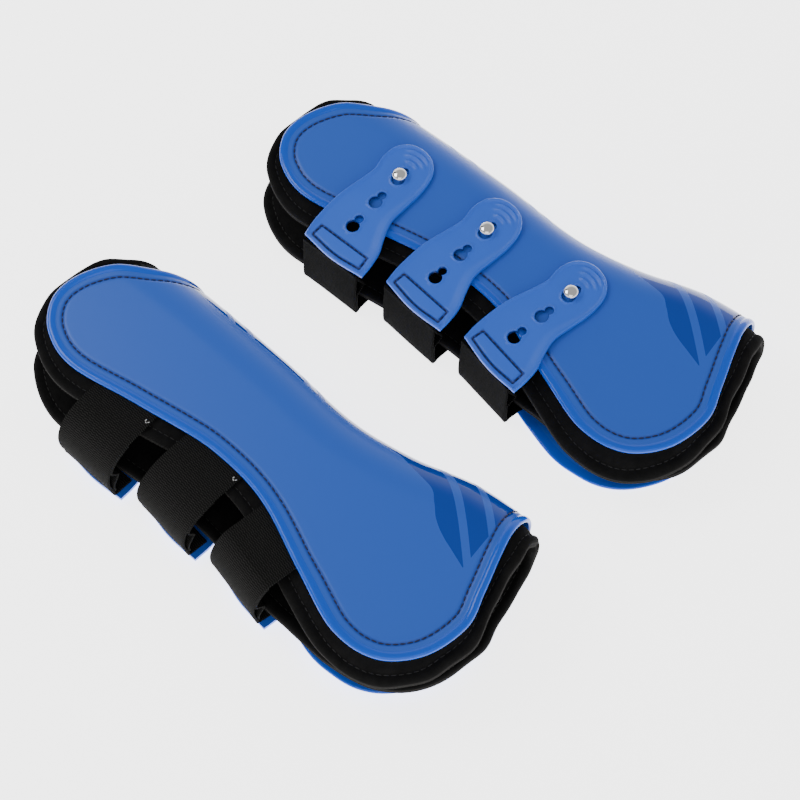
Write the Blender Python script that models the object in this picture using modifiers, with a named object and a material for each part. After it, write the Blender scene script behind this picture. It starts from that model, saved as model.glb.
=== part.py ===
"""A pair of tendon boots for a horse's front legs, lying on their sides.

Each boot is a moulded shell folded round the tendon, a neoprene liner sewn inside it, and three
elastic straps.  A strap comes out from between the far wall and the liner, loops round the open
front and ends in a soft tab with three keyholes, one of which hooks over a stud on the near wall.
The left boot lies with its studs up, the right boot is its mirror image and lies on its studs.
Metres, +Z up.  X runs down the leg to the fetlock end, -Y is the open front, +Y the tendon side.
"""
import math

import bmesh
import bpy
from mathutils import Matrix, Vector

MM = 0.001
GAP = 0.3 * MM                  # between pieces that touch

# Walls, from the outside in
SHELL_THICKNESS = 2.4 * MM
STRAP_SPACE = 2.0 * MM          # between the shell and the liner, where the straps are sewn in
LINER_THICKNESS = 6.0 * MM

# The folded section: a tendon bend, a wider shoulder, then a flat wall that leans inward
BEND_RADIUS = 22.0 * MM
SHOULDER_RADIUS = 30.0 * MM
BEND_ANGLE = math.radians(70)
WALL_LEAN = math.radians(4)

# Edges of one side from the tendon line at the top end to the one at the fetlock end,
# as (X along the boot, distance in front of the tendon reference line), in millimetres
SHELL_EDGE = [(-86, None), (-101, 7), (-119, 20), (-130, 37), (-131, 53), (-120, 67), (-98, 73.5),
              (-60, 69), (-15, 65), (20, 70.5), (55, 86), (85, 98), (108, 96.5), (125, 82),
              (132, 60), (128, 42), (122.5, 22), (119.5, 7), (119, None)]
LINER_EDGE = [(-112, None), (-119, 8), (-128, 20), (-134, 38), (-136, 54), (-127, 72), (-100, 83.5),
              (-60, 79), (-15, 75), (20, 81), (55, 97), (85, 108.5), (110, 107), (130, 90),
              (137.5, 62), (134, 42), (131, 22), (129, 8), (128, None)]
TOP_CORNER = 5                  # edge points where the top and fetlock ends meet the front edge
FETLOCK_CORNER = 13
LENGTH_SCALE = 1.0              # stretches the edges along the leg
DEPTH_SCALE = 1.0               # stretches the edges from tendon to front

# A boot on its side settles: its lower wall slides forward under its upper one, and the liner
# less so at the fetlock.  (X, how far its front edge goes) in millimetres
SHELL_SLUMP = [(-140, 5), (-60, 11), (10, 13.5), (52, 13), (71, 11.5), (87, 8.5), (104, 6.5),
               (130, 2)]
LINER_SLUMP = [(-140, 5), (-60, 13), (10, 16), (40, 12), (62, 6), (80, 2.5), (104, 0.5), (130, 0)]
SLUMP_SPREAD = 45.0 * MM

# The tendon line bows in at the cannon and out over the fetlock: (X, Y) in millimetres
TENDON_LINE = [(-140, 2), (-86, 2), (-25, -2), (22, -7), (56, -4), (92, 4), (140, 4)]

# Straps and their tabs.  A tab's own frame has its first large hole at the origin, +Y to its tip
STRAP_COUNT = 3
STRAP_PITCH = 54.0 * MM
STUDS_TO_REFERENCE = [42, 42, 47]   # millimetres in front of the tendon reference line
STUD_SLUMP = 3.5 * MM           # added on a lower wall, taken off on an upper one
MIDDLE_STUD_X = -12.5 * MM
TAB_LEANS = [4.0, 9.0, 14.5]    # degrees, so that each base edge follows the front edge
STRAP_WIDTH = 35.0 * MM
STRAP_OFFSET = 1.5 * MM         # to the fetlock side of the studs
STRAP_THICKNESS = 1.4 * MM
STRAP_SEWN_IN = 12.0 * MM       # how far behind the shell's edge a strap starts
STRAP_CLEARANCE = 1.5 * MM      # from the liner's edge to where a strap starts to turn
# How a strap bows: its first handle past the tab's base, the least that handle reaches past the
# turn, its height over the strap's own plane, the second handle past the base, its share of height
STRAP_DRAWN_BACK = 3.0 * MM     # the most that the second handle lies behind the turn
SAGGING_BOW = (1.5 * MM, 5.0 * MM, -4.4 * MM, 1.0 * MM, 0.25)
HANGING_BOW = (-6.0 * MM, 4.0 * MM, 1.5 * MM, 3.0 * MM, 0.45)
TAB_THICKNESS = 2.4 * MM
TAB_LENGTH_TO_BASE = 56.0 * MM
KEYHOLE_COUNT = 3
KEYHOLE_PITCH = 17.2 * MM
SMALL_HOLE_RADIUS = 2.2 * MM
SMALL_HOLE_OFFSET = 4.9 * MM
TAB_DRAWN_WIDTH = 35.0 * MM     # the strap and the length that the outline below is drawn for
TAB_DRAWN_LENGTH = 56.0 * MM
TAB_BASE_BOW = 3.0 * MM
TAB_SIDE = [(22, -54.5), (21.5, -46), (20, -38.5), (16.5, -31), (13.5, -22), (13.8, -11), (14.3, 0),
            (12.5, 10), (7.5, 16.5), (0, 18.8), (-7.5, 17.3), (-13, 12), (-14.6, 4), (-13.3, -4),
            (-14.6, -12), (-17.5, -28), (-17.5, -44), (-16, -54)]

# Studs and the washers that back them
STUD_HEAD_RADIUS = 3.7 * MM
STUD_HEAD_HEIGHT = 2.5 * MM
STUD_NECK_RADIUS = 1.8 * MM
WASHER_RADIUS = 5.5 * MM
WASHER_THICKNESS = 0.8 * MM
CLENCH_THICKNESS = 0.35 * MM
CLENCH_OVERHANG = 1.0 * MM
CLENCH_GAP = 0.15 * MM
RIM_HEIGHT_SHARE = 0.35         # of the head's height, below its dome
UNDERCUT_SHARE = 0.93           # of the head's radius, where its underside starts
DOME_STEPS = 5
TURN_SEGMENTS = 20

# How the two boots lie
PAIR_SPACING = 152.0 * MM
PAIR_STAGGER = 20.7 * MM
PAIR_CENTRE_X = -0.4 * MM
BACK_BOOT_Y = 129.0 * MM
LEFT_YAW = math.radians(1.0)
RIGHT_YAW = math.radians(-1.3)

SHELL_GRID = (20, 20)
LINER_GRID = (18, 18)

# Worked out from the sizes above
SHOULDER_END = math.pi / 2 + WALL_LEAN
BEND_DEPTH = (BEND_RADIUS * (1 - math.cos(BEND_ANGLE))
              + SHOULDER_RADIUS * (math.cos(BEND_ANGLE) - math.cos(SHOULDER_END)))
BEND_HEIGHT = (BEND_RADIUS * math.sin(BEND_ANGLE)
               + SHOULDER_RADIUS * (math.sin(SHOULDER_END) - math.sin(BEND_ANGLE)))
WALL_HEIGHT = BEND_HEIGHT + BEND_DEPTH * math.tan(WALL_LEAN)
HEAD_UNDERSIDE = TAB_THICKNESS + 2 * GAP
STUD_STAND_OUT = HEAD_UNDERSIDE + STUD_HEAD_HEIGHT
LARGE_HOLE_RADIUS = STUD_HEAD_RADIUS + GAP
TAB_REACH = TAB_LENGTH_TO_BASE * DEPTH_SCALE    # a deeper boot has longer tabs
WASHER_TOP = -SHELL_THICKNESS - GAP


def clear_scene():
    for obj in list(bpy.data.objects):
        bpy.data.objects.remove(obj, do_unlink=True)


def new_collection(name):
    collection = bpy.data.collections.new(name)
    bpy.context.scene.collection.children.link(collection)
    return collection


def material(name, colour, roughness, metallic=0.0):
    mat = bpy.data.materials.new(name)
    mat.use_nodes = True
    shader = mat.node_tree.nodes["Principled BSDF"]
    shader.inputs["Base Color"].default_value = (*colour, 1.0)
    shader.inputs["Roughness"].default_value = roughness
    shader.inputs["Metallic"].default_value = metallic
    return mat


def add_object(name, data, collection, parent, matrix=None, mat=None):
    obj = bpy.data.objects.new(name, data)
    collection.objects.link(obj)
    obj.parent = parent
    if matrix is not None:
        obj.matrix_local = matrix
    if mat is not None:
        data.materials.append(mat)
    return obj


def smooth_value(points, x):
    """The tendon line's Y at x, on a smooth curve through its points."""
    i = next((k for k, p in enumerate(points) if k > 0 and p[0] > x), len(points) - 1)
    x0, y0 = points[i - 1]
    x1, y1 = points[i]
    before = points[max(i - 2, 0)]
    after = points[min(i + 1, len(points) - 1)]
    slope0 = (y1 - before[1]) / (x1 - before[0])
    slope1 = (after[1] - y0) / (after[0] - x0)
    t = (x - x0) / (x1 - x0)
    span = x1 - x0
    return ((2 * t**3 - 3 * t**2 + 1) * y0 + (t**3 - 2 * t**2 + t) * span * slope0
            + (3 * t**2 - 2 * t**3) * y1 + (t**3 - t**2) * span * slope1)


def tendon_y(x):
    return smooth_value(TENDON_LINE, x / MM / LENGTH_SCALE) * MM


def bend_scale(x):
    """Size of the bend at x, which keeps both walls flat where the tendon line bows."""
    return 1 + tendon_y(x) * math.tan(WALL_LEAN) / WALL_HEIGHT


def slide(slump, x):
    """How far the lower wall's front edge has slid forward at x."""
    return smooth_value(slump, x / MM / LENGTH_SCALE) * MM


def slumped(slump, x, s):
    """Where a point of the unrolled sheet goes once its boot has settled on its side."""
    share = min(max(-s, 0.0) / SLUMP_SPREAD, 1.0)
    return s - slide(slump, x) * share**2 * (3 - 2 * share)


def section(x, s):
    """Point and outward normal (y, z) on the shell's outer face, s along the fold from the tendon."""
    scale = bend_scale(x)
    bend = BEND_RADIUS * scale
    shoulder = SHOULDER_RADIUS * scale
    bend_length = bend * BEND_ANGLE
    shoulder_length = shoulder * (SHOULDER_END - BEND_ANGLE)
    along = abs(s)
    angle = min(along, bend_length) / bend
    depth = bend * (1 - math.cos(angle))
    height = bend * math.sin(angle)
    if along > bend_length:
        angle = BEND_ANGLE + min(along - bend_length, shoulder_length) / shoulder
        depth += shoulder * (math.cos(BEND_ANGLE) - math.cos(angle))
        height += shoulder * (math.sin(angle) - math.sin(BEND_ANGLE))
    if along > bend_length + shoulder_length:
        rest = along - bend_length - shoulder_length
        depth += rest * math.cos(WALL_LEAN)
        height -= rest * math.sin(WALL_LEAN)
    side = 1 if s >= 0 else -1
    return (tendon_y(x) - depth, side * height), (math.cos(angle), side * math.sin(angle))


def unroll(x, front):
    """Length along the fold, at x, to a point that lies `front` ahead of the reference line."""
    low, high = 0.0, 4 * (abs(front) + BEND_DEPTH)
    for _ in range(40):
        middle = (low + high) / 2
        if -section(x, middle)[0][0] < front:
            low = middle
        else:
            high = middle
    return (low + high) / 2


def flat_edge(edge):
    """An edge's points as (x, s) on the unrolled sheet, the first and last on the tendon line."""
    flat = []
    for x, front in edge:
        x *= MM * LENGTH_SCALE
        flat.append(Vector((x, 0.0 if front is None else unroll(x, front * MM * DEPTH_SCALE))))
    return flat


def edge_curve(flat, first, last, count):
    """count + 1 evenly spaced points of a smooth curve through flat[first] .. flat[last]."""
    mirror = [Vector((flat[1].x, -flat[1].y))]
    padded = mirror + flat + [Vector((flat[-2].x, -flat[-2].y))]
    dense = []
    steps = 12
    for i in range(first, last):
        p0, p1, p2, p3 = padded[i:i + 4]
        for k in range(steps):
            t = k / steps
            dense.append(0.5 * (2 * p1 + (p2 - p0) * t + (2 * p0 - 5 * p1 + 4 * p2 - p3) * t**2
                                + (3 * p1 - p0 - 3 * p2 + p3) * t**3))
    dense.append(flat[last].copy())
    lengths = [0.0]
    for a, b in zip(dense, dense[1:]):
        lengths.append(lengths[-1] + (b - a).length)
    points = []
    k = 0
    for i in range(count + 1):
        target = lengths[-1] * i / count
        while k < len(dense) - 2 and lengths[k + 1] < target:
            k += 1
        t = (target - lengths[k]) / (lengths[k + 1] - lengths[k])
        points.append(dense[k].lerp(dense[k + 1], t))
    return points


def sheet_grid(edge, across, along):
    """A grid of (x, s) that fills the whole unrolled sheet, rows running from end to end."""
    flat = flat_edge(edge)
    top = edge_curve(flat, 0, TOP_CORNER, across // 2)
    front = edge_curve(flat, TOP_CORNER, FETLOCK_CORNER, along)
    bottom = edge_curve(flat, FETLOCK_CORNER, len(flat) - 1, across // 2)[::-1]
    top = [Vector((p.x, -p.y)) for p in top[:0:-1]] + top
    bottom = [Vector((p.x, -p.y)) for p in bottom[:0:-1]] + bottom
    grid = []
    for i, edge_point in enumerate(front):
        u = i / along
        row = []
        for j in range(across + 1):
            v = j / across
            near = Vector((edge_point.x, -edge_point.y))
            sides = near.lerp(edge_point, v)
            ends = top[j].lerp(bottom[j], u)
            corners = top[0].lerp(top[-1], v).lerp(bottom[0].lerp(bottom[-1], v), u)
            row.append(sides + ends - corners)
        grid.append(row)
    return grid


def folded_sheet(name, edge, slump, grid_size, depth):
    """The unrolled sheet folded round the tendon, its outer face `depth` inside the shell's."""
    bm = bmesh.new()
    rows = []
    for row in sheet_grid(edge, *grid_size):
        verts = []
        for p in row:
            (y, z), (ny, nz) = section(p.x, slumped(slump, p.x, p.y))
            verts.append(bm.verts.new((p.x, y - ny * depth, z - nz * depth)))
        rows.append(verts)
    for a, b in zip(rows, rows[1:]):
        for j in range(len(a) - 1):
            bm.faces.new((a[j], b[j], b[j + 1], a[j + 1]))
    bmesh.ops.recalc_face_normals(bm, faces=bm.faces)
    crown = max(bm.faces, key=lambda f: f.calc_center_median().y)
    if crown.normal.y < 0:
        bmesh.ops.reverse_faces(bm, faces=bm.faces)
    mesh = bpy.data.meshes.new(name)
    bm.to_mesh(mesh)
    bm.free()
    mesh.shade_smooth()
    return mesh


def add_solidify(obj, thickness, offset):
    solidify = obj.modifiers.new("thickness", "SOLIDIFY")
    solidify.thickness = thickness
    solidify.offset = offset
    solidify.use_even_offset = True


def wall_z(front):
    """Height of a wall's flat outer face over the middle plane, `front` ahead of the reference."""
    return WALL_HEIGHT - math.tan(WALL_LEAN) * front


def stud_x(index):
    return (MIDDLE_STUD_X + (index - (STRAP_COUNT - 1) / 2) * STRAP_PITCH) * LENGTH_SCALE


def stud_front(index, side):
    """How far a stud lies ahead of the reference line, on the upper wall where side is +1."""
    return STUDS_TO_REFERENCE[index] * MM * DEPTH_SCALE - side * STUD_SLUMP


def on_wall(index, side):
    """Frame on a wall's outer face at a stud, Z out of the wall."""
    front = stud_front(index, side)
    place = Matrix.Translation((stud_x(index), -front, side * wall_z(front)))
    turn_over = 0.0 if side > 0 else math.pi
    return place @ Matrix.Rotation(side * WALL_LEAN + turn_over, 4, "X")


def turned(name, profile, closed):
    """The edges of a profile of (radius, height) points, to be turned about Z."""
    mesh = bpy.data.meshes.new(name)
    count = len(profile)
    edges = [(i, i + 1) for i in range(count - 1)]
    if closed:
        edges.append((count - 1, 0))
    mesh.from_pydata([(r, 0, z) for r, z in profile], edges, [])
    return mesh


def add_screw(obj):
    screw = obj.modifiers.new("turn", "SCREW")
    screw.steps = TURN_SEGMENTS
    screw.render_steps = TURN_SEGMENTS
    screw.use_merge_vertices = True
    screw.merge_threshold = 0.00001
    screw.use_smooth_shade = True


def stud_profile():
    """From the centre of the domed head down the outside to the clenched end."""
    points = [(0.0, STUD_STAND_OUT)]
    rim = HEAD_UNDERSIDE + STUD_HEAD_HEIGHT * RIM_HEIGHT_SHARE
    for i in range(1, DOME_STEPS + 1):
        angle = math.pi / 2 * (1 - i / DOME_STEPS)
        points.append((STUD_HEAD_RADIUS * math.cos(angle),
                       rim + (STUD_STAND_OUT - rim) * math.sin(angle)))
    clench_top = WASHER_TOP - WASHER_THICKNESS - CLENCH_GAP
    clench_bottom = clench_top - CLENCH_THICKNESS
    clench_radius = STUD_NECK_RADIUS + CLENCH_OVERHANG
    points += [(STUD_HEAD_RADIUS * UNDERCUT_SHARE, HEAD_UNDERSIDE),
               (STUD_NECK_RADIUS, HEAD_UNDERSIDE), (STUD_NECK_RADIUS, clench_top),
               (clench_radius, clench_top), (clench_radius, clench_bottom), (0.0, clench_bottom)]
    return points


def washer_profile():
    inner = STUD_NECK_RADIUS + GAP
    bottom = WASHER_TOP - WASHER_THICKNESS
    return [(inner, WASHER_TOP), (WASHER_RADIUS, WASHER_TOP), (WASHER_RADIUS, bottom),
            (inner, bottom)]


def add_spline(curve, points, sharp=()):
    """A closed smooth outline, with a corner at each point listed in `sharp`."""
    spline = curve.splines.new("BEZIER")
    spline.bezier_points.add(len(points) - 1)
    for i, (x, y) in enumerate(points):
        point = spline.bezier_points[i]
        point.co = (x, y, 0)
        kind = "VECTOR" if i in sharp else "AUTO"
        point.handle_left_type = kind
        point.handle_right_type = kind
    spline.use_cyclic_u = True
    spline.resolution_u = 3


def keyhole(centre_y):
    """Outline of a large hole that runs into a small one nearer the tip."""
    big, small, offset = LARGE_HOLE_RADIUS, SMALL_HOLE_RADIUS, SMALL_HOLE_OFFSET
    meet = (big**2 - small**2 + offset**2) / (2 * offset)
    big_start = math.acos(meet / big)
    small_start = math.acos((meet - offset) / small)
    points = []
    big_steps, small_steps = 14, 8
    for i in range(big_steps + 1):
        angle = math.pi / 2 + big_start + (2 * math.pi - 2 * big_start) * i / big_steps
        points.append((big * math.cos(angle), centre_y + big * math.sin(angle)))
    for i in range(1, small_steps):
        angle = math.pi / 2 - small_start + 2 * small_start * i / small_steps
        points.append((small * math.cos(angle), centre_y + offset + small * math.sin(angle)))
    return points


def tab_curve(name):
    """A flat tab, its underside on its frame's XY plane, with three keyholes."""
    curve = bpy.data.curves.new(name, "CURVE")
    curve.dimensions = "2D"
    curve.fill_mode = "BOTH"
    curve.extrude = TAB_THICKNESS / 2
    widen = STRAP_WIDTH / TAB_DRAWN_WIDTH
    stretch = TAB_REACH / TAB_DRAWN_LENGTH
    outline = [(x * MM * widen, y * MM * (stretch if y < 0 else 1)) for x, y in TAB_SIDE]
    base_bow = (TAB_BASE_BOW, -TAB_REACH)
    add_spline(curve, outline + [base_bow], sharp=(0, len(outline) - 1))
    for i in range(KEYHOLE_COUNT):
        spline = curve.splines.new("POLY")
        points = keyhole(-i * KEYHOLE_PITCH)
        spline.points.add(len(points) - 1)
        for k, (x, y) in enumerate(points):
            spline.points[k].co = (x, y, 0, 1)
        spline.use_cyclic_u = True
    return curve


def hinge_distance():
    """From the stud to the seam between a strap and its tab."""
    return TAB_REACH + STRAP_THICKNESS / 2 + 2 * GAP


def edge_front(edge, slump, x, lower):
    """How far the front stretch of an edge lies ahead of the reference line at x."""
    settled = slide(slump, x) if lower else 0.0
    front = edge[TOP_CORNER:FETLOCK_CORNER + 1]
    for (x0, f0), (x1, f1) in zip(front, front[1:]):
        x0, x1 = x0 * MM * LENGTH_SCALE, x1 * MM * LENGTH_SCALE
        if x0 <= x <= x1:
            return (f0 + (f1 - f0) * (x - x0) / (x1 - x0)) * MM * DEPTH_SCALE + settled
    return front[0][1] * MM * DEPTH_SCALE + settled


def strap_curve(name, index, seam, side):
    """A strap in its own plane: x away from the stud, y up from the far wall's outer face."""
    lean = math.radians(TAB_LEANS[index])
    lower = side > 0
    stud = stud_front(index, side)
    middle = SHELL_THICKNESS + STRAP_SPACE / 2
    base = seam.x
    end_height = seam.y - GAP
    x = stud_x(index) - math.sin(lean) * base + STRAP_OFFSET * math.cos(lean)
    half = STRAP_WIDTH / 2 * math.cos(lean)
    reach = max(edge_front(LINER_EDGE, LINER_SLUMP, x + across, lower)
                for across in (-half, 0.0, half))
    mouth = (reach - stud) / math.cos(lean) + STRAP_CLEARANCE
    shell_end = edge_front(SHELL_EDGE, SHELL_SLUMP, x, lower)
    start = (shell_end - stud) / math.cos(lean) - STRAP_SEWN_IN
    out, least, drop, bow, share = SAGGING_BOW if lower else HANGING_BOW
    curve = bpy.data.curves.new(name, "CURVE")
    curve.dimensions = "2D"
    curve.fill_mode = "NONE"
    curve.extrude = STRAP_WIDTH / 2
    spline = curve.splines.new("BEZIER")
    spline.bezier_points.add(2)
    spline.resolution_u = 12
    sewn = (start, middle)
    halfway = ((start + mouth) / 2, middle)
    turning = (max(base + out, mouth + least), middle + drop)
    end = (base, end_height)
    rising = (max(base + bow, mouth - STRAP_DRAWN_BACK), end_height * share)
    route = [(sewn, sewn, halfway), (halfway, (mouth, middle), turning), (rising, end, end)]
    for point, (before, place, after) in zip(spline.bezier_points, route):
        point.handle_left_type = "FREE"
        point.handle_right_type = "FREE"
        point.co = (*place, 0)
        point.handle_left = (*before, 0)
        point.handle_right = (*after, 0)
    return curve


def cut_stud_hole(shell, frame, cutters, parent):
    mesh = bpy.data.meshes.new("stud_hole")
    bm = bmesh.new()
    bmesh.ops.create_cone(bm, cap_ends=True, segments=16, radius1=STUD_NECK_RADIUS + GAP,
                          radius2=STUD_NECK_RADIUS + GAP, depth=4 * SHELL_THICKNESS)
    bm.to_mesh(mesh)
    bm.free()
    cutter = add_object("cutter_stud_hole", mesh, cutters, parent, frame)
    cutter.hide_render = True
    cutter.display_type = "WIRE"
    cut = shell.modifiers.new("stud_hole", "BOOLEAN")
    cut.operation = "DIFFERENCE"
    cut.solver = "EXACT"
    cut.object = cutter


def build_strap_set(prefix, index, side, parts, cutters, parent, shell, mats):
    """One strap with its tab, stud and washer; `side` is +1 where the studs face up."""
    number = index + 1
    lean = math.radians(TAB_LEANS[index])
    stud_frame = on_wall(index, side)
    cut_stud_hole(shell, stud_frame, cutters, parent)

    mesh = turned("stud", stud_profile(), closed=False)
    stud = add_object(f"{prefix}_stud_{number}", mesh, parts, parent, stud_frame, mats["stud"])
    add_screw(stud)
    mesh = turned("washer", washer_profile(), closed=True)
    washer = add_object(f"{prefix}_stud_washer_{number}", mesh, parts, parent, stud_frame,
                        mats["washer"])
    add_screw(washer)

    turn = Matrix.Rotation(-lean, 4, "Z")
    tab_tilt = Matrix.Rotation(side * WALL_LEAN, 4, "X")
    front = stud_front(index, side)
    lift = wall_z(front) + (GAP + TAB_THICKNESS / 2) / math.cos(WALL_LEAN)
    wall_place = Matrix.Translation((stud_x(index), -front, side * lift))
    tab_frame = wall_place @ tab_tilt @ turn
    pivot = tab_frame @ Matrix.Translation((0, -hinge_distance(), 0))
    hinge = bpy.data.objects.new(f"{prefix}_hinge_{number}", None)
    parts.objects.link(hinge)
    hinge.parent = parent
    hinge.matrix_local = pivot
    add_object(f"{prefix}_tab_{number}", tab_curve("tab"), parts, hinge,
               Matrix.Translation((0, hinge_distance(), 0)), mats["tab"])

    # The strap's plane: its curve's x is away from the stud and its y towards the tab's wall
    axes = Matrix(((0, 0, 1, 0), (-1, 0, 0, 0), (0, side, 0, 0), (0, 0, 0, 1)))
    far_wall = Matrix.Translation((stud_x(index), -front, -side * wall_z(front)))
    far_tilt = Matrix.Rotation(-side * WALL_LEAN, 4, "X")
    shift = Matrix.Translation((STRAP_OFFSET, 0, 0))
    strap_frame = far_wall @ far_tilt @ turn @ shift @ axes
    seam = strap_frame.inverted() @ pivot.translation
    curve = strap_curve("strap", index, seam, side)
    strap = add_object(f"{prefix}_strap_{number}", curve, parts, parent, strap_frame, mats["strap"])
    add_solidify(strap, STRAP_THICKNESS, 0.0)


def build_boot(prefix, side, place, parts, cutters, mats):
    holder = bpy.data.objects.new(f"{prefix}_boot", None)
    parts.objects.link(holder)
    holder.matrix_world = place
    shell_mesh = folded_sheet("shell", SHELL_EDGE, SHELL_SLUMP, SHELL_GRID, 0.0)
    shell = add_object(f"{prefix}_shell", shell_mesh, parts, holder, None, mats["shell"])
    add_solidify(shell, SHELL_THICKNESS, -1.0)
    liner_depth = SHELL_THICKNESS + STRAP_SPACE
    liner_mesh = folded_sheet("liner", LINER_EDGE, LINER_SLUMP, LINER_GRID, liner_depth)
    liner = add_object(f"{prefix}_liner", liner_mesh, parts, holder, None, mats["liner"])
    add_solidify(liner, LINER_THICKNESS, -1.0)
    for index in range(STRAP_COUNT):
        build_strap_set(prefix, index, side, parts, cutters, holder, shell, mats)


def lying(x, y, height, yaw):
    """A boot on its side: leaned so that its lower wall is level, `height` above the ground."""
    level = WALL_HEIGHT * math.cos(WALL_LEAN)
    return (Matrix.Translation((x, y, level + height)) @ Matrix.Rotation(yaw, 4, "Z")
            @ Matrix.Rotation(WALL_LEAN, 4, "X"))


def main():
    clear_scene()
    parts = new_collection("tendon_boots")
    cutters = new_collection("cutters")
    mats = {
        "shell": material("shell_blue", (0.045, 0.155, 0.480), 0.32),
        "tab": material("tab_blue", (0.045, 0.165, 0.530), 0.42),
        "liner": material("liner_black", (0.010, 0.010, 0.011), 0.95),
        "strap": material("strap_black", (0.018, 0.018, 0.019), 0.85),
        "stud": material("stud_chrome", (0.80, 0.80, 0.80), 0.08, 1.0),
        "washer": material("washer_steel", (0.55, 0.55, 0.55), 0.30, 1.0),
    }
    left = lying(PAIR_CENTRE_X + PAIR_STAGGER / 2, BACK_BOOT_Y, 0.0, LEFT_YAW)
    right = lying(PAIR_CENTRE_X - PAIR_STAGGER / 2, BACK_BOOT_Y - PAIR_SPACING, STUD_STAND_OUT,
                  RIGHT_YAW)
    build_boot("left", 1, left, parts, cutters, mats)
    build_boot("right", -1, right, parts, cutters, mats)


main()
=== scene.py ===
import math

import bmesh
import bpy
import numpy as np
from mathutils import Matrix, Vector
from mathutils.geometry import delaunay_2d_cdt


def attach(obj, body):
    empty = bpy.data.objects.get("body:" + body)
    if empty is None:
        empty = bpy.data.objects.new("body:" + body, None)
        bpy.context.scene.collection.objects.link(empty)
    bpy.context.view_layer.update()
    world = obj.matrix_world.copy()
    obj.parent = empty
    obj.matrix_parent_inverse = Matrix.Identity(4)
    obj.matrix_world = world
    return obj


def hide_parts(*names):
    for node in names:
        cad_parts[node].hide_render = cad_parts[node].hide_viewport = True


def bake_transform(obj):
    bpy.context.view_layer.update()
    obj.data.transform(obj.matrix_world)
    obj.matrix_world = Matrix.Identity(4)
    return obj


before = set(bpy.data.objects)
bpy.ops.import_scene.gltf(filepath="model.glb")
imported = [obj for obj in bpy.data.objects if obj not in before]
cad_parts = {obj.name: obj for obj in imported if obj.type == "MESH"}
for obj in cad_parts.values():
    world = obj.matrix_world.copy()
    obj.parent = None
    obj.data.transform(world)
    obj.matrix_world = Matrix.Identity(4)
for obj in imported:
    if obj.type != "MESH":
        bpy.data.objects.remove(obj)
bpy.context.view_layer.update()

# ---------------------------------------------------------------------------------------------
# The studio: a plain white table, a softbox to the side of the boots and a wider, dimmer one in
# front of them.  The room has white walls for the glossy panels to mirror, and a dark doorway
# that shows in the studs and in the rolled beads.

MM = 0.001


def placed(name, data):
    """An object in the scene."""
    obj = bpy.data.objects.new(name, data)
    bpy.context.scene.collection.objects.link(obj)
    return obj


camera = placed("camera", bpy.data.cameras.new("camera"))
aim = Vector((0.0206, -0.0094, 0.0350))
camera.location = (0.3446, -0.4212, 0.9426)
camera.rotation_euler = (aim - camera.location).to_track_quat("-Z", "Y").to_euler()
camera.data.lens = 99.0
camera.data.sensor_width = 36.0
bpy.context.scene.camera = camera


def softbox(name, place, size, watts):
    """A square area light that faces the boots."""
    light = bpy.data.lights.new(name, "AREA")
    light.shape = "SQUARE"
    light.size = size
    light.energy = watts
    obj = placed(name, light)
    obj.location = place
    obj.rotation_euler = (-Vector(place)).to_track_quat("-Z", "Y").to_euler()


softbox("side_softbox", (-0.95, -0.35, 1.15), 0.7, 9.0)
softbox("front_softbox", (0.60, -1.10, 1.60), 1.2, 5.5)


def fill(tree, node, inputs):
    """Links or sets a node's inputs."""
    for key, value in inputs.items():
        if isinstance(value, bpy.types.NodeSocket):
            tree.links.new(value, node.inputs[key])
        else:
            node.inputs[key].default_value = value


def add(tree, kind, inputs=None, **settings):
    """A shader or geometry node with its settings and inputs filled in."""
    made = tree.nodes.new(kind)
    for key, value in settings.items():
        setattr(made, key, value)
    fill(tree, made, inputs or {})
    return made


def maths(tree, operation, a, b=0.0, c=0.0, clamp=False):
    made = add(tree, "ShaderNodeMath", {0: a, 1: b, 2: c}, operation=operation, use_clamp=clamp)
    return made.outputs["Value"]


def ranged(tree, value, source, target, **settings):
    """A value taken from one (low, high) range to another."""
    inputs = {"Value": value, "From Min": source[0], "From Max": source[1],
              "To Min": target[0], "To Max": target[1]}
    return add(tree, "ShaderNodeMapRange", inputs, **settings).outputs["Result"]


def new_finish(name, colour, roughness):
    """A material, its node tree and its shader."""
    mat = bpy.data.materials.new(name)
    mat.use_nodes = True
    shader = mat.node_tree.nodes["Principled BSDF"]
    fill(mat.node_tree, shader, {"Base Color": (*colour, 1), "Roughness": roughness})
    return mat, mat.node_tree, shader


def studio_world():
    """White walls that dim upwards, with one dark doorway."""
    world = bpy.data.worlds.new("studio")
    world.use_nodes = True
    tree = world.node_tree
    tree.nodes.clear()
    facing = add(tree, "ShaderNodeTexCoord").outputs["Generated"]
    height = add(tree, "ShaderNodeSeparateXYZ", {"Vector": facing}).outputs["Z"]
    walls = ranged(tree, height, (0.30, 0.75), (1.5, 0.45), interpolation_type="SMOOTHSTEP")
    doorway = Vector((-0.80, -0.33, 0.46)).normalized()
    toward = add(tree, "ShaderNodeVectorMath", {0: facing, 1: doorway}, operation="DOT_PRODUCT")
    dark = ranged(tree, toward.outputs["Value"], (0.86, 0.93), (1.0, 0.03),
                  interpolation_type="SMOOTHSTEP")
    light = add(tree, "ShaderNodeBackground", {"Color": (1, 1, 1, 1),
                                               "Strength": maths(tree, "MULTIPLY", walls, dark)})
    add(tree, "ShaderNodeOutputWorld", {"Surface": light.outputs["Background"]})
    bpy.context.scene.world = world


studio_world()


def white_table():
    """A flat sheet far wider than the view."""
    mesh = bpy.data.meshes.new("table")
    half = 6.0
    mesh.from_pydata([(-half, -half, 0), (half, -half, 0), (half, half, 0), (-half, half, 0)],
                     [], [(0, 1, 2, 3)])
    mat, tree, shader = new_finish("table_white", (0.93, 0.93, 0.93), 0.9)
    fill(tree, shader, {"Emission Color": (1, 1, 1, 1), "Emission Strength": 3.2})
    mesh.materials.append(mat)
    placed("table", mesh)


white_table()

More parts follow.
